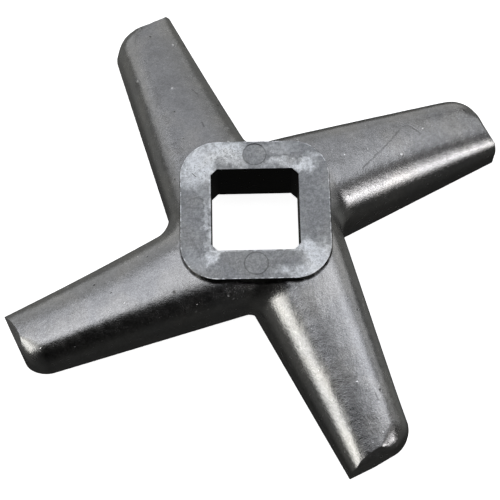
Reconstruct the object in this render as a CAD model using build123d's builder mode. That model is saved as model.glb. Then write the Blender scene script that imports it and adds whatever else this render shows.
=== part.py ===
from build123d import *
from math import cos, sin, tan, radians, hypot
import os

os.makedirs("parts", exist_ok=True)

# ---------------------------------------------------------------------------
# Four-armed knife of a size 32 meat grinder: one investment casting in
# stainless steel, with a square bore, a raised square hub on its back and
# four arms whose ground undersides run on the hole plate.
#
# Frame: the bore axis is Z.  Z = 0 is the plane of the ground cutting faces,
# and +Z points to the back of the knife, where the hub stands.  The flats of
# the square bore are parallel to X and Y.  Millimetres.
# ---------------------------------------------------------------------------

# hub and bore
bore = 15.875            # square drive bore across flats, 5/8 in
bore_chamfer = 1.15      # 45 degree flats in the four bore corners
hub_width = 26.8         # across the flats of the hub
hub_corner = 6.7         # vertical corner radius of the hub
hub_top = 15.4           # face of the hub above the cutting plane
hub_seat = 4.45          # underside of the hub above the cutting plane
relief_bore = 25.4       # round relief under the hub, clear of the plate stud

# arms, in the frame of one arm: s runs along its cutting edge, n across it
arm_count = 4
cut_angle = 27.385       # direction of the cutting edge from +X
cut_offset = -7.2        # the edge passes this far from the bore axis
trail_angle = 16.51      # direction of the trailing edge from +X
trail_offset = 14.62     # the trailing edge passes this far from the axis
tip_s = 47.88            # end face, measured along the cutting edge
end_skew = 2.2           # the end face leans outward at the trailing corner
tip_corner = 4.13        # plan radius of the trailing tip corner
tip_break = 1.0          # broken edge between the end face and the back

root_s, far_s = 15.875, 47.625
lean_root, lean_tip = 0.67, 0.0           # lean of the leading wall in plan
lead_root, lead_tip = 12.87, 7.94         # height of the leading shoulder
crest_root, crest_tip = 13.75, 8.42       # height of the trailing shoulder
trail_lean_root, trail_lean_tip = 0.40, 1.34   # lean of the trailing wall
trail_rise = 3.36        # trailing lower edge above the cutting plane
sweep_root, sweep_tip = 8.6, 5.45         # reach of the leading shoulder's rounding
round_root, round_tip = 6.4, 3.02         # reach of the trailing roll-over
fullness = 2.9           # 2 rounds as a plain arc, more keeps it fuller
crown_root, crown_tip = 0.41, 0.36        # crown of the back between the shoulders
crown_mid = 0.31         # extra crown half way along the arm
land = 5.0               # width of the ground land behind the cutting edge
stock = 0.5              # ground off the cast underside to make the land
web_round = 2.0          # rounding in the notch between two arms
hub_break = 0.25         # broken edge round the face of the hub

fan = radians(cut_angle - trail_angle)
u = (cos(radians(cut_angle)), sin(radians(cut_angle)))
v = (-u[1], u[0])


def trail_n(s):
    """Trailing edge across the arm at station s."""
    return (trail_offset - s * sin(fan)) / cos(fan)


def blend(a, b, s):
    k = (s - root_s) / (far_s - root_s)
    return a * (1 - k) + b * k


def hump(s):
    """1 half way between root and tip stations, 0 at and beyond them."""
    k = (s - root_s) / (far_s - root_s)
    return max(0.0, 4 * k * (1 - k))


def crest(s):
    """Height of the trailing shoulder: falls to the tip, level at the hub."""
    if s >= root_s:
        return blend(crest_root, crest_tip, s) + 0.24 * hump(s)
    slope = (crest_tip - crest_root) / (far_s - root_s)
    run = 11.0
    t = min(root_s - s, run)
    return crest_root - slope * (t - t * t / (2 * run))


def swept_corner(p0, p1, p2, r, steps=(0, 22, 45, 68, 90)):
    """Points round the corner p1, from the side of p0 to the side of p2."""
    a = Vector(*p0) - Vector(*p1)
    b = Vector(*p2) - Vector(*p1)
    sin_t = sin(radians(a.get_angle(b)))
    a, b = a.normalized(), b.normalized()
    pts = []
    for deg in steps:
        off_a = r * (1 - max(0.0, cos(radians(deg))) ** (2 / fullness))
        off_b = r * (1 - sin(radians(deg)) ** (2 / fullness))
        pts.append(Vector(*p1) + a * (off_b / sin_t) + b * (off_a / sin_t))
    return pts


def arm_section(s):
    """Closed section of the arm across its cutting edge at station s."""
    n0, n1 = cut_offset, trail_n(s)
    lead = (n0 + blend(lean_root, lean_tip, s),
            blend(lead_root, lead_tip, s) - 0.41 * hump(s))
    # the casting runs below the cutting plane before it is ground flat
    toe = (n0 - stock * (lead[0] - n0) / lead[1], -stock)
    heel = (n1, trail_rise)
    bed = (n0 + land - stock * (n1 - n0 - land) / trail_rise, -stock)
    back = (n1 - blend(trail_lean_root, trail_lean_tip, s), crest(s))
    crown = blend(crown_root, crown_tip, s) + crown_mid * hump(s)
    mid = ((lead[0] + back[0]) / 2, (lead[1] + back[1]) / 2 + crown)
    over = swept_corner(toe, lead, mid, blend(sweep_root, sweep_tip, s))
    over += swept_corner(mid, back, heel, blend(round_root, round_tip, s))
    rise = (Vector(*lead) - Vector(*toe)).normalized()
    fall = (Vector(*heel) - Vector(*back)).normalized()
    plane = Plane(origin=(s * u[0], s * u[1], 0), x_dir=(v[0], v[1], 0),
                  z_dir=(u[0], u[1], 0))
    with BuildSketch(plane, mode=Mode.PRIVATE) as sec:
        with BuildLine():
            Line(toe, over[0])
            Spline(*over, tangents=(rise, fall))
            Line(over[-1], heel)
            Line(heel, bed)
            Line(bed, toe)
        make_face()
    return sec.sketch


def at(s, n):
    """Plan point of station s along and n across the arm."""
    return (s * u[0] + n * v[0], s * u[1] + n * v[1])


lean = tan(radians(end_skew))
end_s = (tip_s + lean * (trail_offset / cos(fan) - cut_offset)) / (1 + lean * tan(fan))
tip_outer = at(end_s, trail_n(end_s))     # unrounded trailing tip corner

# one arm, lofted past both ends, trimmed to its plan and ground flat at Z = 0
with BuildPart() as arm:
    for s in (3.0, 9.5, root_s, 32.0, 50.5):
        add(arm_section(s))
    loft()
    with BuildSketch(Plane.XY) as plan:
        with BuildLine():
            Polyline(at(0, cut_offset - 5), at(tip_s - lean * 5, cut_offset - 5),
                     tip_outer, at(-12, trail_n(-12)), at(0, cut_offset - 5))
        make_face()
        fillet(plan.vertices().sort_by_distance(tip_outer)[0], tip_corner)
    extrude(amount=30, mode=Mode.INTERSECT)
    tip_faces = arm.faces().filter_by(
        lambda f: abs(f.normal_at(f.center()).Z) < 0.02
        and f.center().dot(Vector(u[0], u[1], 0)) > 40)
    rim = [e for f in tip_faces for e in f.edges()
           if e.center().Z > trail_rise + 0.5
           and (e @ 0 - e @ 1).cross(Vector(0, 0, 1)).length > 0.6]
    chamfer(rim, tip_break)

# the whole casting: hub, four arms, relief under the hub and square bore
with BuildPart() as knife:
    with BuildSketch(Plane.XY.offset(hub_seat)):
        RectangleRounded(hub_width, hub_width, hub_corner)
    extrude(amount=hub_top - hub_seat)
    for k in range(arm_count):
        add(arm.part, rotation=(0, 0, 360 / arm_count * k))
    with BuildSketch(Plane.XY.offset(-1)):
        Circle(relief_bore / 2)
    extrude(amount=hub_seat + 1, mode=Mode.SUBTRACT)
    with BuildSketch(Plane.XY.offset(-1)) as square:
        Rectangle(bore, bore)
        chamfer(square.vertices(), bore_chamfer)
    extrude(amount=hub_top + 2, mode=Mode.SUBTRACT)
    # where the leading wall of one arm meets the trailing wall of the next
    notches = knife.edges().filter_by(
        lambda e: e.length > 2.5 and hub_seat < e.center().Z < 12
        and 0.5 < hypot(e.center().X, e.center().Y) - hub_width / 2 < 3)
    fillet(notches, web_round)
    face_rim = knife.edges().filter_by(
        lambda e: abs(e.center().Z - hub_top) < 0.001
        and hypot(e.center().X, e.center().Y) > bore / 2 + 2)
    fillet(face_rim, hub_break)

knife.part.label = "knife"
print("solids", len(knife.solids()), "valid", knife.part.is_valid,
      "volume", round(knife.part.volume), "notches", len(notches),
      "rim edges", len(face_rim))
export_step(knife.part, "parts/knife.step")
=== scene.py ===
import bpy, math
import numpy as np
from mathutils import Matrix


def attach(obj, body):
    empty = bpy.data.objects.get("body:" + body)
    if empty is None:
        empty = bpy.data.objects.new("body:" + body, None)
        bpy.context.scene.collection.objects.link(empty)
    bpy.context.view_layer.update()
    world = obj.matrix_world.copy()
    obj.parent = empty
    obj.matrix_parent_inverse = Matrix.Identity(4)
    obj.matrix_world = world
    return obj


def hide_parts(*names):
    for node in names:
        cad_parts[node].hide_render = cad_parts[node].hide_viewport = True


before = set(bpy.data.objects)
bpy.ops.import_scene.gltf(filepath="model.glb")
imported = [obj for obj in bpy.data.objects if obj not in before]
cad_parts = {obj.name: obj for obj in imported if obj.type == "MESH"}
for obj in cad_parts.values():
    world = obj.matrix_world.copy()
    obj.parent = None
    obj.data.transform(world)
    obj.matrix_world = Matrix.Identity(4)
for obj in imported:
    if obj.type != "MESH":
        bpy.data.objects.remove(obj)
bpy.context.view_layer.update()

# ---------------------------------------------------------------------------
# The knife's skin: an implicit solid with the sizes of the CAD model, in
# millimetres, meshed by dual contouring.
# ---------------------------------------------------------------------------
BORE, BORE_CH = 15.875, 1.15
HUB_W, HUB_R, HUB_TOP, HUB_SEAT, RELIEF_R = 26.8, 6.7, 15.4, 4.45, 12.7
CUT_A, CUT_N = math.radians(27.385), -7.2
TRAIL_A, TRAIL_D = math.radians(16.51), 14.62
TIP_S, SKEW, TIP_R = 47.88, math.tan(math.radians(2.2)), 4.13
FAN = CUT_A - TRAIL_A
RISE = 3.36
SOFT = 2.9          # exponent of the swept roundings: 2 is a plain arc


def mixs(a, b, s):
    k = (s - 15.875) / 31.75
    return a * (1 - k) + b * k


def hump(s):
    k = (s - 15.875) / 31.75
    return np.maximum(4 * k * (1 - k), 0)


def crest(s):
    out = mixs(13.75, 8.42, s) + 0.24 * hump(s)
    t = np.clip(15.875 - s, 0, 11.0)
    near = 13.75 + 0.16787 * (t - t * t / 22.0)
    return np.where(s < 15.875, near, out)


def rmax(a, b, r, p=2.0):
    """Intersection of two fields with a rounded edge of radius r."""
    u, v = a + r, b + r
    uu, vv = np.maximum(u, 1e-9), np.maximum(v, 1e-9)
    if p == 2.0:
        q = np.sqrt(uu * uu + vv * vv)
    else:
        q = (uu ** p + vv ** p) ** (1 / p)
    return q + np.minimum(np.maximum(u, v), 0) - r


def rmin(a, b, r):
    """Union of two fields with a hollow fillet of radius r."""
    return -rmax(-a, -b, r)


def swell(x, y, z):
    """Shallow unevenness of a cast and tumbled surface, in millimetres."""
    w = np.sin(0.93 * x + 0.41 * y + 0.6 * z + 1.3) * np.sin(0.37 * x - 0.88 * y + 0.5 * z + 0.4)
    w = w + 0.7 * np.sin(1.71 * x - 1.13 * y + 0.9 * z + 2.1) * np.sin(1.07 * x + 1.53 * y - 0.7 * z + 5.0)
    w = w + 0.45 * np.sin(2.9 * x + 2.3 * y + 1.9 * z) * np.sin(2.1 * x - 3.1 * y + 1.2 * z + 0.8)
    return 0.011 * w


def arm(x, y, z, bumps=0.0):
    cu, su = math.cos(CUT_A), math.sin(CUT_A)
    s = x * cu + y * su
    n = -x * su + y * cu
    sc = np.clip(s, 2.0, 52.0)
    hm = hump(sc)
    lead = mixs(12.87, 7.94, sc) - 0.41 * hm
    lean = mixs(0.67, 0.0, sc)
    top_b = crest(sc)
    nt = (TRAIL_D - s * math.sin(FAN)) / math.cos(FAN)
    ntc = (TRAIL_D - sc * math.sin(FAN)) / math.cos(FAN)
    # walls
    sl = lean / lead
    wl = (CUT_N + sl * z - n) / np.sqrt(1 + sl * sl)
    we = (s - (TIP_S + SKEW * (n - CUT_N))) * math.cos(math.atan(SKEW))
    tl = mixs(0.40, 1.34, sc)
    sl2 = tl / np.maximum(top_b - RISE, 2.0)
    wt = (n - (nt - sl2 * (z - RISE))) * math.cos(FAN) / np.sqrt(1 + sl2 * sl2)
    # back of the arm
    na, nb = CUT_N + lean, ntc - tl
    w = nb - na
    t = (n - na) / w
    tc = np.clip(t, -0.3, 1.3)
    cw = mixs(0.41, 0.36, sc) + 0.31 * hm
    sk = 10 * mixs(0.05, -0.16, sc)
    zt = lead + (top_b - lead) * t + 4 * cw * tc * (1 - tc) + sk * tc * (1 - tc) * (1 - 2 * tc)
    sl3 = (top_b - lead) / w + 4 * cw * (1 - 2 * tc) / w + sk * (1 - 6 * tc + 6 * tc * tc) / w
    up = (z - zt) / np.sqrt(1 + sl3 * sl3 + 0.03) + bumps
    rt = np.maximum(mixs(6.40, 3.02, sc) + 0.34 * hm, 0.5)
    rl = np.maximum(mixs(8.60, 5.45, sc) + 0.24 * hm, 0.4)
    # rounded trailing corner of the tip, then the roll-over onto the back
    side = rmax(we, wt, TIP_R) + 0.4 * bumps
    near_end = np.clip((s - (TIP_S - 7.0)) / 6.0, 0, 1)
    near_end = near_end * near_end * (3 - 2 * near_end)
    across = np.clip((n - CUT_N) / np.maximum(nt - CUT_N, 4.0), 0, 1)
    roll = np.clip((across - 0.36) / 0.30, 0, 1)
    roll = roll * roll * (3 - 2 * roll)
    ra = rt * (1 - near_end) + (0.35 + END_R1 * roll) * near_end
    f = np.maximum(rmax(up, side, ra, SOFT), rmax(up, wl + 0.4 * bumps, rl, SOFT))
    # steep facet along the leading half of the tip, tapering out at the corner
    fall = FACET * np.clip(0.60 + 1.0 * across, 0, 1)
    f = np.maximum(f, 0.5 * up + 0.866 * (side + fall))
    f = np.maximum(f, rmax(wl, we, 0.12))
    # ground land and the relief behind it
    slope = RISE / np.maximum(ntc - (CUT_N + 5.0), 3.0)
    rel = ((n - (CUT_N + 5.0)) * slope - z) / np.sqrt(1 + slope * slope)
    f = np.maximum(f, np.maximum(-z, rel))
    # the arm starts inside the hub
    return np.maximum(f, 3.0 - s)


def rrect(x, y, h, r):
    qx, qy = np.abs(x) - h + r, np.abs(y) - h + r
    return np.sqrt(np.maximum(qx, 0) ** 2 + np.maximum(qy, 0) ** 2) + np.minimum(np.maximum(qx, qy), 0) - r


def solid(p):
    x, y, z = p[..., 0], p[..., 1], p[..., 2]
    b = swell(x, y, z)
    plan = rrect(x, y, HUB_W / 2, HUB_R)
    arms = [arm(x, y, z, b), arm(y, -x, z, b), arm(-x, -y, z, b), arm(-y, x, z, b)]
    f = arms[0]
    web = WEB_R + WEB_UP * np.clip(z, 0, 7) - WEB_DOWN * np.clip(z - 8, 0, 6)
    for a in arms[1:]:
        f = rmin(f, a, web)
    pad = rmax(plan, z - HUB_TOP, 0.12)
    pad = np.maximum(pad, HUB_SEAT - z)
    f = rmin(f, pad, 0.10)
    rr = np.sqrt(x * x + y * y)
    f = np.maximum(f, -np.maximum(rr - RELIEF_R, z - HUB_SEAT))
    hole = np.maximum(np.maximum(np.abs(x), np.abs(y)) - BORE / 2,
                      (np.abs(x) + np.abs(y) - (BORE - BORE_CH)) * 0.70711)
    return np.maximum(f, -hole)


WEB_R, WEB_UP, WEB_DOWN = 0.8, 0.36, 0.2
END_R1, FACET = 3.7, 1.1


def gradient(p, h=0.02):
    g = np.empty_like(p)
    for i in range(3):
        d = np.zeros(3); d[i] = h
        g[:, i] = solid(p + d) - solid(p - d)
    return g / np.maximum(np.linalg.norm(g, axis=1, keepdims=True), 1e-9)


def dual_contour(ax):
    """Quads of the skin on the rectilinear grid with the given axis points."""
    n = np.array([len(a) for a in ax])
    val = np.empty(tuple(n), np.float32)
    for k in range(n[2]):
        X, Y = np.meshgrid(ax[0], ax[1], indexing="ij")
        val[:, :, k] = solid(np.stack([X, Y, np.full_like(X, ax[2][k])], -1))
    inside = val < 0
    pts, nrm, cells, quads, flips = [], [], [], [], []
    cn = n - 1
    strides = np.array([cn[1] * cn[2], cn[2], 1])
    for a in range(3):
        sl0 = [slice(None)] * 3; sl1 = [slice(None)] * 3
        sl0[a] = slice(0, -1); sl1[a] = slice(1, None)
        ch = inside[tuple(sl0)] != inside[tuple(sl1)]
        idx = np.argwhere(ch)
        b, c = (a + 1) % 3, (a + 2) % 3
        idx = idx[(idx[:, b] > 0) & (idx[:, c] > 0) & (idx[:, b] < cn[b]) & (idx[:, c] < cn[c])]
        p0 = np.stack([ax[i][idx[:, i]] for i in range(3)], 1)
        h = ax[a][idx[:, a] + 1] - ax[a][idx[:, a]]
        e = np.zeros(3); e[a] = 1.0
        f0 = solid(p0); f1 = solid(p0 + e * h[:, None])
        ta, tb = np.zeros(len(idx)), np.ones(len(idx))
        fa, fb = f0.copy(), f1.copy()
        for it in range(7):
            t = ta + (tb - ta) * np.clip(fa / (fa - fb + 1e-12), 0.05, 0.95)
            ft = solid(p0 + e * (h * t)[:, None])
            left = (ft < 0) == (fa < 0)
            ta = np.where(left, t, ta); fa = np.where(left, ft, fa)
            tb = np.where(left, tb, t); fb = np.where(left, fb, ft)
        t = ta + (tb - ta) * fa / (fa - fb + 1e-12)
        q = p0 + e * (h * t)[:, None]
        g = gradient(q)
        quad = []
        for db, dc in ((0, 0), (-1, 0), (-1, -1), (0, -1)):
            cidx = idx.copy(); cidx[:, b] += db; cidx[:, c] += dc
            ids = cidx @ strides
            quad.append(ids)
            pts.append(q); nrm.append(g); cells.append(ids)
        quads.append(np.stack(quad, 1)); flips.append(f0 >= 0)
    pts = np.concatenate(pts); nrm = np.concatenate(nrm); cells = np.concatenate(cells)
    quads = np.concatenate(quads); flips = np.concatenate(flips)
    uniq, inv = np.unique(cells, return_inverse=True)
    m = len(uniq)
    cnt = np.bincount(inv, minlength=m).astype(float)
    mass = np.stack([np.bincount(inv, pts[:, i], m) for i in range(3)], 1) / cnt[:, None]
    rel = pts - mass[inv]
    d = np.einsum("ij,ij->i", nrm, rel)
    A = np.empty((m, 3, 3)); B = np.empty((m, 3))
    for i in range(3):
        B[:, i] = np.bincount(inv, nrm[:, i] * d, m)
        for j in range(i, 3):
            A[:, i, j] = A[:, j, i] = np.bincount(inv, nrm[:, i] * nrm[:, j], m)
    lam = 0.04 * cnt
    A += lam[:, None, None] * np.eye(3)
    off = np.linalg.solve(A, B[..., None])[..., 0]
    cell = np.stack(np.unravel_index(uniq, tuple(cn)), 1)
    c0 = np.stack([ax[i][cell[:, i]] for i in range(3)], 1)
    c1 = np.stack([ax[i][cell[:, i] + 1] for i in range(3)], 1)
    v = np.clip(mass + off, c0 - 0.1 * (c1 - c0), c1 + 0.1 * (c1 - c0))
    look = np.searchsorted(uniq, quads)
    look[flips] = look[flips][:, ::-1]
    return v, look


def steps(lo, hi, coarse, fine, reach, shift):
    """Grid points: fine within the hub's reach, coarse along the arms."""
    out = [shift]
    while out[-1] < hi:
        out.append(out[-1] + (fine if abs(out[-1]) < reach else coarse))
    down = [shift]
    while down[-1] > lo:
        down.append(down[-1] - (fine if abs(down[-1]) < reach else coarse))
    return np.array(down[:0:-1] + out)


verts, faces = dual_contour([steps(-47.6, 47.6, 0.47, 0.34, 14.2, 0.013),
                             steps(-47.6, 47.6, 0.47, 0.34, 14.2, 0.017),
                             np.arange(-0.66, 16.2, 0.43)])
print("skin", len(verts), len(faces))
mesh = bpy.data.meshes.new("knife_skin")
mesh.from_pydata((verts * 0.001).tolist(), [], faces.tolist())
mesh.update()
mesh.validate()
skin = bpy.data.objects.new("knife_skin", mesh)
bpy.context.scene.collection.objects.link(skin)
mesh.shade_smooth()
mesh.set_sharp_from_angle(angle=math.radians(38))

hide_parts("knife")

ROOM = 0.003
# light thrown back by the room and the table, as wide soft lobes of the world:
# azimuth, elevation, half angle, radiance
BOUNCE = [
    (90, -18, 50, 0.066),
    (130, -18, 50, 0.168),
    (180, -18, 50, 0.091),
    (230, -18, 50, 0.162),
    (270, -18, 50, 0.078),
    (315, -22, 50, 0.035),
    (45, -22, 50, 0.027),
    (0, -60, 45, 0.022),
    (180, -70, 40, 0.035),
]
SOFTBOXES = [
    ("w_low", 284, 3, 14, 14, 1.65),
    ("w_mid", 283, 18, 14, 14, 3.15),
    ("w_up", 284, 32, 16, 14, 1.64),
    ("w_high", 280, 48, 20, 18, 1.04),
    ("w_side", 301, 22, 14, 40, 2.41),
    ("se_low", 49, 2, 20, 14, 1.76),
    ("se_mid", 48, 15, 20, 14, 3.86),
    ("se_up", 50, 32, 22, 18, 1.86),
    ("se_high", 66, 50, 30, 24, 0.21),
    ("n_ne", 148, 42, 24, 26, 0.18),
    ("over_e", 116, 68, 30, 26, 1.01),
    ("over_w", 240, 60, 32, 26, 1.07),
    ("over_n", 178, 56, 34, 40, 0.57),
    ("zenith", 180, 84, 24, 22, 0.42),
    ("over_se", 70, 74, 26, 24, 0.55),
    ("over_ww", 275, 70, 20, 20, 0.89),
    ("ne", 122, 36, 26, 30, 0.67),
    ("n_mid", 172, 14, 44, 44, 0.45),
    ("n_nw", 222, 22, 40, 44, 0.52),
    ("nw", 258, 34, 22, 36, 0.40),
    ("east", 98, 24, 18, 40, 0.30),
]

# finish: paler places of the hub face as (x, y, half width, half height, turn, amount)
HUB_PALE = [
    (-10.6, 7.6, 2.6, 3.4, 0, 0.85), (-8.6, 11.6, 3.6, 2.0, 15, 0.75),
    (-4.0, 11.0, 3.2, 2.2, 0, 0.88), (-8.8, 9.2, 1.8, 1.6, 0, 0.5),
    (4.4, 11.9, 3.4, 1.2, 0, 0.28), (8.9, 8.9, 1.7, 1.5, 0, 0.85),
    (5.6, 9.2, 2.2, 0.7, 0, 0.36), (11.0, 10.0, 1.5, 1.2, -45, 0.45),
    (11.0, -9.6, 2.4, 3.2, 10, 0.85), (6.8, -12.2, 3.4, 1.2, 0, 0.65),
    (8.9, -7.2, 1.4, 1.6, 0, 0.70), (-7.6, -8.8, 1.8, 1.2, 35, 0.85),
    (-8.5, -3.0, 0.5, 5.0, 0, 0.45), (-11.0, -9.5, 1.4, 2.4, 30, 0.22),
    (0.5, 8.7, 6.0, 0.6, 0, 0.35),
]
HUB_BASE, HUB_LIFT, ARM_BASE, ARM_ROUGH, GRAIN_H = 0.32, 0.58, 0.42, 0.24, 0.023
# cold-flow line across one arm, point by point, and short marks as (x0, y0, x1, y1, half width)
FLOW = [(19.88, 8.82), (21.43, 10.62), (23.18, 12.41), (24.75, 14.23), (25.93, 15.64),
        (26.94, 17.07), (27.61, 17.76), (28.68, 18.27), (29.76, 17.83), (30.98, 16.56)]
SCUFFS = [(-11.39, 26.7, -10.28, 25.6, 0.16), (-20.4, 33.6, -19.9, 32.9, 0.14), (-9.5, 18.9, -9.1, 17.9, 0.22),
          (20.1, -33.2, 20.5, -34.4, 0.22)]
# long soft bands along the arms, painted sheen where the amount is positive and painted shade where it is
# negative: (x, y, half length, half width, turn, amount)
ARM_SHEEN_SHADE_BANDS = [
    (14.3, -31.0, 10.5, 1.5, -71.6, -0.09), (18.6, -28.0, 11.5, 1.5, -76.0, 0.10),
    (-18.6, 25.0, 12.5, 1.3, 105.2, 0.13), (-12.6, 27.0, 9.0, 2.4, 110.0, -0.04),
    (27.0, 13.6, 9.0, 1.4, 22.0, 0.12), (-25.5, -6.0, 9.0, 2.6, 202.0, 0.05),
]

# ---------------------------------------------------------------------------
# material: cast stainless steel, blasted and tumbled, with a paler ground hub
# face, ejector marks, pits and bright specks, and ground lands underneath
# ---------------------------------------------------------------------------
class Net:
    """Short forms for building a shader from math and texture nodes."""

    def __init__(self, tree):
        self.t = tree

    def put(self, sock, v):
        if isinstance(v, (int, float)):
            sock.default_value = v
        elif isinstance(v, tuple):
            sock.default_value = v
        else:
            self.t.links.new(v, sock)

    def m(self, op, a, b=0.0, c=None, clamp=False):
        n = self.t.nodes.new("ShaderNodeMath")
        n.operation = op
        n.use_clamp = clamp
        self.put(n.inputs[0], a)
        self.put(n.inputs[1], b)
        if c is not None:
            self.put(n.inputs[2], c)
        return n.outputs[0]

    def add(self, a, b): return self.m("ADD", a, b)
    def sub(self, a, b): return self.m("SUBTRACT", a, b)
    def mul(self, a, b): return self.m("MULTIPLY", a, b)
    def top(self, a, b): return self.m("MAXIMUM", a, b)
    def low(self, a, b): return self.m("MINIMUM", a, b)

    def fade(self, v, a, b, lo=0.0, hi=1.0):
        """Smooth step of v from lo at a to hi at b."""
        n = self.t.nodes.new("ShaderNodeMapRange")
        n.interpolation_type = "SMOOTHSTEP"
        if a > b:
            a, b, lo, hi = b, a, hi, lo
        self.put(n.inputs["Value"], v)
        n.inputs["From Min"].default_value = a
        n.inputs["From Max"].default_value = b
        n.inputs["To Min"].default_value = lo
        n.inputs["To Max"].default_value = hi
        return n.outputs["Result"]

    def vec(self, x, y, z):
        n = self.t.nodes.new("ShaderNodeCombineXYZ")
        for i, v in enumerate((x, y, z)):
            self.put(n.inputs[i], v)
        return n.outputs[0]

    def noise(self, vec, scale, detail=2.0, rough=0.5):
        n = self.t.nodes.new("ShaderNodeTexNoise")
        n.inputs["Scale"].default_value = scale
        n.inputs["Detail"].default_value = detail
        n.inputs["Roughness"].default_value = rough
        self.put(n.inputs["Vector"], vec)
        return n.outputs["Fac"]

    def cells(self, vec, scale):
        """Distance to the nearest cell point and that cell's random number."""
        n = self.t.nodes.new("ShaderNodeTexVoronoi")
        n.inputs["Scale"].default_value = scale
        self.put(n.inputs["Vector"], vec)
        s = self.t.nodes.new("ShaderNodeSeparateColor")
        self.t.links.new(n.outputs["Color"], s.inputs[0])
        return n.outputs["Distance"], s.outputs[0], s.outputs[1]

    def dist(self, x, y, cx, cy):
        dx, dy = self.sub(x, cx), self.sub(y, cy)
        return self.m("SQRT", self.add(self.mul(dx, dx), self.mul(dy, dy)))

    def blob(self, x, y, cx, cy, rx, ry, deg=0.0, soft=0.45):
        """1 inside a soft ellipse, 0 outside it."""
        ca, sa = math.cos(math.radians(deg)), math.sin(math.radians(deg))
        dx, dy = self.sub(x, cx), self.sub(y, cy)
        u = self.mul(self.add(self.mul(dx, ca), self.mul(dy, sa)), 1 / rx)
        v = self.mul(self.sub(self.mul(dy, ca), self.mul(dx, sa)), 1 / ry)
        r = self.m("SQRT", self.add(self.mul(u, u), self.mul(v, v)))
        return self.fade(r, 1 + soft, 1 - soft)

    def stroke(self, x, y, x0, y0, x1, y1, w):
        """1 on the straight mark from one point to the other, 0 beside it."""
        L = math.hypot(x1 - x0, y1 - y0)
        ux, uy = (x1 - x0) / L, (y1 - y0) / L
        dx, dy = self.sub(x, x0), self.sub(y, y0)
        t = self.add(self.mul(dx, ux), self.mul(dy, uy))
        tc = self.low(self.top(t, 0.0), L)
        ex, ey = self.sub(dx, self.mul(tc, ux)), self.sub(dy, self.mul(tc, uy))
        r = self.m("SQRT", self.add(self.mul(ex, ex), self.mul(ey, ey)))
        return self.fade(r, w, w * 0.35)


mat = bpy.data.materials.new("cast_steel_skin")
mat.use_nodes = True
tree = mat.node_tree
bs = tree.nodes["Principled BSDF"]
bs.inputs["Metallic"].default_value = 1.0
N = Net(tree)
tc = tree.nodes.new("ShaderNodeTexCoord")
mp = tree.nodes.new("ShaderNodeVectorMath"); mp.operation = "SCALE"
mp.inputs["Scale"].default_value = 1000.0           # millimetres from here on
tree.links.new(tc.outputs["Object"], mp.inputs[0])
P = mp.outputs[0]
sp = tree.nodes.new("ShaderNodeSeparateXYZ")
tree.links.new(P, sp.inputs[0])
X, Y, Z = sp.outputs

# cast grain from a tenth of a millimetre up to cloudy stains
grain = N.noise(P, 3.4, 3.0, 0.7)
speckle = N.noise(P, 1.5, 4.0, 0.7)
cloud = N.noise(P, 0.55, 3.0, 0.55)
stain = N.noise(P, 0.13, 3.0, 0.5)
tone = N.add(1.0, N.mul(N.sub(grain, 0.5), 0.75))
tone = N.mul(tone, N.add(1.0, N.mul(N.sub(speckle, 0.5), 0.50)))
tone = N.mul(tone, N.add(1.0, N.mul(N.sub(cloud, 0.5), 0.40)))
tone = N.mul(tone, N.add(1.0, N.mul(N.sub(stain, 0.5), 0.45)))

# pits: small dark hollows, few and unevenly spread
pd, pa, pb = N.cells(P, 0.62)
pit_r = N.fade(pb, 0.0, 1.0, 0.07, 0.17)
pit = N.mul(N.fade(N.sub(pd, pit_r), 0.06, -0.04), N.fade(pa, 0.925, 0.945))
# bright specks where the skin is bruised
sd, sa_, sb = N.cells(P, 0.47)
speck_r = N.fade(sb, 0.0, 1.0, 0.05, 0.14)
speck = N.mul(N.fade(N.sub(sd, speck_r), 0.05, -0.03), N.fade(sa_, 0.74, 0.78))

# masks of the different surfaces
hub = N.fade(Z, HUB_TOP - 0.16, HUB_TOP - 0.05)
ground = N.fade(Z, 0.06, 0.03)
# mask of the bore's wall, used only to paint shade into it
bore_wall_painted_shade = N.mul(N.fade(N.top(N.m("ABSOLUTE", X), N.m("ABSOLUTE", Y)), BORE / 2 + 0.20, BORE / 2 + 0.08),
               N.fade(Z, HUB_TOP - 0.05, HUB_TOP - 0.25))

# hub face: pale blotches over a bluish grey, at listed places
wx = N.add(X, N.mul(N.sub(N.noise(P, 0.42, 4.0, 0.6), 0.5), 5.2))
wy = N.add(Y, N.mul(N.sub(N.noise(N.vec(Y, Z, X), 0.42, 4.0, 0.6), 0.5), 5.2))
pale = 0.0
for cx, cy, rx, ry, deg, amt in HUB_PALE:
    pale = N.add(pale, N.mul(N.blob(wx, wy, cx, cy, rx, ry, deg), amt))
fleck = N.noise(P, 3.1, 4.0, 0.7)
pale = N.low(pale, 1.0)
# dark flecks break through the pale skin
bare = N.mul(N.fade(fleck, 0.54, 0.61), N.blob(wx, wy, -5.4, 10.4, 4.0, 1.9, 15))
bare = N.top(bare, N.mul(N.fade(fleck, 0.58, 0.65), N.blob(wx, wy, 5.5, 10.4, 3.8, 2.0)))
bare = N.top(bare, N.mul(N.fade(fleck, 0.57, 0.64), N.blob(wx, wy, -10.6, 6.0, 2.0, 4.5)))
pale = N.mul(pale, N.sub(1.0, N.mul(bare, 0.95)))
dn = N.dist(X, Y, 0.05, 10.8)
ds = N.dist(X, Y, 0.0, -10.5)
dw = N.dist(X, Y, -10.6, 0.3)
disc = N.fade(dn, 2.12, 2.02)
pale = N.mul(pale, N.sub(1.0, disc))
ring_n = N.fade(N.m("ABSOLUTE", N.sub(dn, 2.10)), 0.16, 0.05)
arc_n = N.mul(ring_n, N.fade(Y, 12.2, 12.7))
ring_s = N.fade(N.m("ABSOLUTE", N.sub(ds, 2.10)), 0.14, 0.04)
ring_w = N.mul(N.fade(N.m("ABSOLUTE", N.sub(dw, 2.05)), 0.16, 0.04), N.fade(Y, 0.6, 2.2, 0.12, 0.8))
scratch = N.stroke(X, Y, -11.25, 7.2, -10.55, 6.55, 0.10)
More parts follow.
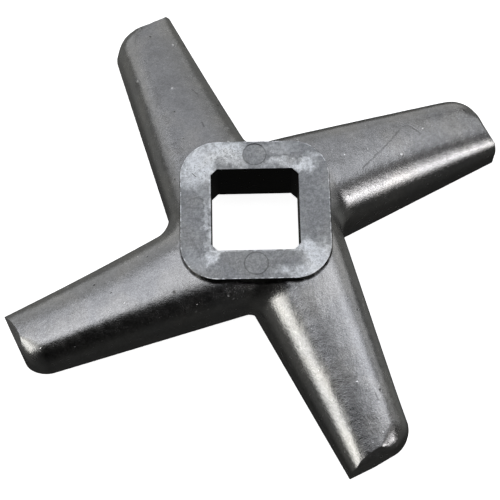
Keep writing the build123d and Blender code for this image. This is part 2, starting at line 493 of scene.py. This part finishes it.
# distance in from the outline of the hub, for its bright rim: partly a burr of the ground face, partly a
# painted edge highlight
qx = N.sub(N.m("ABSOLUTE", X), HUB_W / 2 - HUB_R)
qy = N.sub(N.m("ABSOLUTE", Y), HUB_W / 2 - HUB_R)
qo = N.m("SQRT", N.add(N.mul(N.top(qx, 0.0), N.top(qx, 0.0)), N.mul(N.top(qy, 0.0), N.top(qy, 0.0))))
edge = N.sub(N.add(qo, N.low(N.top(qx, qy), 0.0)), HUB_R)
rim = N.mul(N.fade(edge, -0.20, -0.08), N.fade(N.noise(P, 0.9, 4.0, 0.75), 0.46, 0.58, 0.0, 1.0))
# painted highlight along the bore's edge, mostly on its -X -Y side, broken by noise
bore_lip_painted_highlight = N.mul(N.fade(N.top(N.m("ABSOLUTE", X), N.m("ABSOLUTE", Y)), BORE / 2 + 0.42, BORE / 2 + 0.2),
            N.fade(N.add(X, Y), 6.0, -1.0))
bore_lip_painted_highlight = N.mul(bore_lip_painted_highlight, N.fade(N.noise(P, 0.9, 2.0, 0.6), 0.42, 0.58))

hub_tone = N.add(1.0, N.mul(N.sub(grain, 0.5), 1.3))
hub_tone = N.mul(hub_tone, N.add(1.0, N.mul(N.sub(N.noise(P, 1.3, 4.0, 0.7), 0.5), 1.35)))
hub_tone = N.mul(hub_tone, N.add(1.0, N.mul(N.sub(N.noise(P, 0.28, 3.0, 0.5), 0.5), 0.55)))
hub_lum = N.mul(hub_tone, N.add(HUB_BASE, N.mul(pale, N.mul(HUB_LIFT, N.add(0.75, N.mul(fleck, 0.5))))))
hub_lum = N.mul(hub_lum, N.add(1.0, N.mul(disc, 0.14)))
for mark, amt in ((ring_n, 0.36), (arc_n, 0.60), (ring_s, 0.34), (ring_w, 0.26), (scratch, 0.85)):
    hub_lum = N.mul(hub_lum, N.sub(1.0, N.mul(mark, amt)))
# adds the bright rim, partly burr and partly painted edge highlight, and the painted highlight on the bore's
# lip
hub_lum = N.add(hub_lum, N.add(N.mul(rim, 0.60), N.mul(bore_lip_painted_highlight, 0.25)))

# cast arms
arm_lum = N.mul(tone, ARM_BASE)
arm_lum = N.mul(arm_lum, N.sub(1.0, N.mul(pit, 0.55)))
arm_lum = N.add(arm_lum, N.mul(speck, 0.40))
# cold-flow line across one arm, and faint scuffs
fx = N.add(X, N.mul(N.sub(N.noise(P, 0.8, 2.0, 0.5), 0.5), 0.8))
flow = 0.0
for (x0, y0), (x1, y1) in zip(FLOW[:-1], FLOW[1:]):
    flow = N.top(flow, N.stroke(fx, Y, x0, y0, x1, y1, 0.17))
flow = N.mul(flow, N.fade(Z, 7.0, 8.0))
arm_lum = N.mul(arm_lum, N.sub(1.0, N.mul(flow, 0.24)))
# painted sheen and painted shade in soft bands along the arms
for cx, cy, rx, ry, deg, amt in ARM_SHEEN_SHADE_BANDS:
    arm_lum = N.mul(arm_lum, N.add(1.0, N.mul(N.blob(X, Y, cx, cy, rx, ry, deg, 0.8), amt)))
scuffs = 0.0
for x0, y0, x1, y1, w in SCUFFS:
    scuffs = N.top(scuffs, N.stroke(X, Y, x0, y0, x1, y1, w))
arm_lum = N.mul(arm_lum, N.sub(1.0, N.mul(N.mul(scuffs, N.fade(Z, 4.0, 6.0)), 0.35)))

# ground lands underneath: fine straight grinding lines
gu = N.add(N.mul(X, 0.83), N.mul(Y, 0.56))
gv = N.sub(N.mul(Y, 0.83), N.mul(X, 0.56))
lines = N.noise(N.vec(N.mul(gu, 0.05), N.mul(gv, 9.0), 0.0), 1.0, 3.0, 0.6)
lines2 = N.noise(N.vec(N.mul(gu, 0.03), N.mul(gv, 2.2), 4.0), 1.0, 2.0, 0.6)
ground_lum = N.mul(0.62, N.add(1.0, N.add(N.mul(N.sub(lines, 0.5), 0.5), N.mul(N.sub(lines2, 0.5), 0.35))))

# painted shade in the corner at the foot of the raised hub, strongest towards -Y and broken by noise
pad_foot_painted_shade = N.mul(N.mul(N.fade(edge, 0.36, 0.10), N.fade(edge, -0.5, -0.3)),
               N.mul(N.fade(Z, 10.5, 12.0), N.fade(Z, HUB_TOP - 0.10, HUB_TOP - 0.30)))
pad_foot_painted_shade = N.mul(pad_foot_painted_shade, N.fade(N.add(Y, N.mul(X, -0.35)), 9.0, 3.0, 0.30, 1.0))
pad_foot_painted_shade = N.mul(pad_foot_painted_shade, N.fade(N.noise(P, 0.7, 3.0, 0.6), 0.38, 0.52, 0.45, 0.85))
arm_lum = N.mul(arm_lum, N.sub(1.0, pad_foot_painted_shade))
lum = N.add(arm_lum, N.mul(hub, N.sub(hub_lum, arm_lum)))
lum = N.add(lum, N.mul(ground, N.sub(ground_lum, lum)))
# painted shade: the bore's wall is darkened nearly to black
lum = N.mul(lum, N.sub(1.0, N.mul(bore_wall_painted_shade, 0.93)))
lum = N.low(N.top(lum, 0.02), 0.97)
# faintly blue on the pale hub, faintly warm in the stains of the arms
warm = N.fade(stain, 0.42, 0.60)
col = tree.nodes.new("ShaderNodeCombineColor")
N.put(col.inputs[0], N.mul(lum, N.sub(N.add(0.985, N.mul(warm, 0.012)), N.mul(hub, 0.025))))
N.put(col.inputs[1], N.mul(lum, 0.993))
N.put(col.inputs[2], N.mul(lum, N.add(N.sub(1.008, N.mul(warm, 0.025)), N.mul(hub, 0.022))))
tree.links.new(col.outputs[0], bs.inputs["Base Color"])

# roughness
r_arm = N.add(ARM_ROUGH, N.add(N.mul(N.sub(speckle, 0.5), 0.14), N.mul(N.sub(cloud, 0.5), 0.12)))
r_hub = N.add(0.44, N.add(N.mul(N.sub(fleck, 0.5), 0.15), N.mul(pale, 0.08)))
rgh = N.add(r_arm, N.mul(hub, N.sub(r_hub, r_arm)))
rgh = N.add(rgh, N.mul(ground, N.sub(N.add(0.24, N.mul(lines, 0.1)), rgh)))
rgh = N.add(rgh, N.mul(pit, 0.2))
tree.links.new(rgh, bs.inputs["Roughness"])

# relief of the skin, in millimetres
h_arm = N.add(N.mul(grain, GRAIN_H), N.mul(speckle, GRAIN_H * 1.3))
h_arm = N.add(h_arm, N.mul(cloud, 0.016))
h_arm = N.sub(h_arm, N.mul(pit, 0.07))
h_arm = N.sub(N.add(h_arm, N.mul(speck, 0.03)), N.mul(flow, 0.02))
h_hub = N.add(N.mul(grain, 0.004), N.mul(fleck, 0.010))
h_hub = N.sub(h_hub, N.mul(N.top(N.top(ring_n, ring_s), N.top(ring_w, scratch)), 0.03))
h_hub = N.add(h_hub, N.mul(disc, -0.03))
h = N.add(h_arm, N.mul(hub, N.sub(h_hub, h_arm)))
h = N.add(h, N.mul(ground, N.sub(N.mul(lines, 0.004), h)))
bump = tree.nodes.new("ShaderNodeBump")
bump.inputs["Strength"].default_value = 1.0
bump.inputs["Distance"].default_value = 0.001
tree.links.new(h, bump.inputs["Height"])
tree.links.new(bump.outputs[0], bs.inputs["Normal"])
mesh.materials.append(mat)
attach(skin, "root")

# ---------------------------------------------------------------------------
# floor
# ---------------------------------------------------------------------------
fm = bpy.data.meshes.new("floor")
fm.from_pydata([(-3, -3, 0), (3, -3, 0), (3, 3, 0), (-3, 3, 0)], [], [(0, 1, 2, 3)])
floor = bpy.data.objects.new("floor", fm)
bpy.context.scene.collection.objects.link(floor)
fmat = bpy.data.materials.new("floor_mat")
fmat.use_nodes = True
fb = fmat.node_tree.nodes["Principled BSDF"]
fb.inputs["Base Color"].default_value = (0.9, 0.9, 0.9, 1)
fb.inputs["Roughness"].default_value = 0.9
fb.inputs["Emission Color"].default_value = (1, 1, 1, 1)
fb.inputs["Emission Strength"].default_value = 0.93
fm.materials.append(fmat)
floor.location.z = -0.0002
floor.visible_glossy = False
floor.visible_diffuse = False

# ---------------------------------------------------------------------------
# camera
# ---------------------------------------------------------------------------
AZ, EL, ROLL = math.radians(-0.397), math.radians(67.343), math.radians(0.816)
D, F, TX, TY = 17.7616, 1522.7353, 5.4574, 17.106
UNIT = 15.875
c = np.array([math.sin(AZ) * math.cos(EL), -math.cos(AZ) * math.cos(EL), math.sin(EL)])
zf = -c
xr = np.cross(zf, [0, 0, 1.0]); xr /= np.linalg.norm(xr)
yu = np.cross(xr, zf)
R = np.array([xr, yu, zf])
cr, sr = math.cos(ROLL), math.sin(ROLL)
R = np.array([[cr, -sr, 0], [sr, cr, 0], [0, 0, 1]]) @ R
pos = -R.T @ np.array([TX * D / F, TY * D / F, D])
pos = (pos * UNIT + np.array([0, 0, 4.445])) * 0.001
from mathutils import Matrix
cam_data = bpy.data.cameras.new("camera")
cam_data.sensor_width = 36.0
cam_data.sensor_fit = "HORIZONTAL"
cam_data.lens = F / 500.0 * 36.0
cam_data.clip_start = 0.01
cam_data.clip_end = 20
cam_ob = bpy.data.objects.new("camera", cam_data)
bpy.context.scene.collection.objects.link(cam_ob)
M = Matrix.Identity(4)
for i in range(3):
    M[i][0], M[i][1], M[i][2], M[i][3] = R[0][i], R[1][i], -R[2][i], pos[i]
cam_ob.matrix_world = M
bpy.context.scene.camera = cam_ob

# ---------------------------------------------------------------------------
# light: a dim room with soft boxes over, behind and at both sides of the knife
# ---------------------------------------------------------------------------
bpy.context.scene.view_settings.view_transform = "Standard"
world = bpy.data.worlds.new("studio")
bpy.context.scene.world = world
world.use_nodes = True
world.node_tree.nodes["Background"].inputs["Color"].default_value = (1.0, 1.0, 0.95, 1)
way = world.node_tree.nodes.new("ShaderNodeTexCoord").outputs["Generated"]
W = Net(world.node_tree)
fill, lobes = ROOM, []
for az, el, half, glow in BOUNCE:
    a, e = math.radians(az), math.radians(el)
    dot = world.node_tree.nodes.new("ShaderNodeVectorMath")
    dot.operation = "DOT_PRODUCT"
    dot.inputs[1].default_value = (math.sin(a) * math.cos(e), -math.cos(a) * math.cos(e), math.sin(e))
    world.node_tree.links.new(way, dot.inputs[0])
    lobe = W.fade(dot.outputs["Value"], math.cos(math.radians(half)), 1.0, 0.0, glow)
    lobes.append(lobe.node)
    fill = W.add(fill, lobe)
world.node_tree.links.new(fill, world.node_tree.nodes["Background"].inputs["Strength"])


TINTS = {"w": (1.0, 0.985, 0.94), "se": (1.0, 0.975, 0.975), "over": (0.975, 0.988, 1.035)}


def softbox(name, az, el, w_deg, h_deg, glow, dist=1.1):
    """Soft box at azimuth az (0 towards -Y, 90 towards +X) and elevation el,
    w_deg by h_deg wide as the knife sees it, of radiance glow."""
    a, e = math.radians(az), math.radians(el)
    d = np.array([math.sin(a) * math.cos(e), -math.cos(a) * math.cos(e), math.sin(e)])
    l = bpy.data.lights.new(name, "AREA")
    l.shape = "RECTANGLE"
    l.size = 2 * dist * math.tan(math.radians(w_deg) / 2)
    l.size_y = 2 * dist * math.tan(math.radians(h_deg) / 2)
    l.energy = glow * math.pi * l.size * l.size_y
    l.color = TINTS.get(name.split("_")[0], (1.0, 1.0, 1.0))
    o = bpy.data.objects.new(name, l)
    bpy.context.scene.collection.objects.link(o)
    zz = d
    xx = np.cross([0, 0, 1.0], zz); xx /= np.linalg.norm(xx)
    yy = np.cross(zz, xx)
    Mx = Matrix.Identity(4)
    for i in range(3):
        Mx[i][0], Mx[i][1], Mx[i][2], Mx[i][3] = xx[i], yy[i], zz[i], d[i] * dist
    o.matrix_world = Mx
    o.visible_camera = False
    return o


for name, az, el, w, h, glow in SOFTBOXES:
    softbox(name, az, el, w, h, glow)
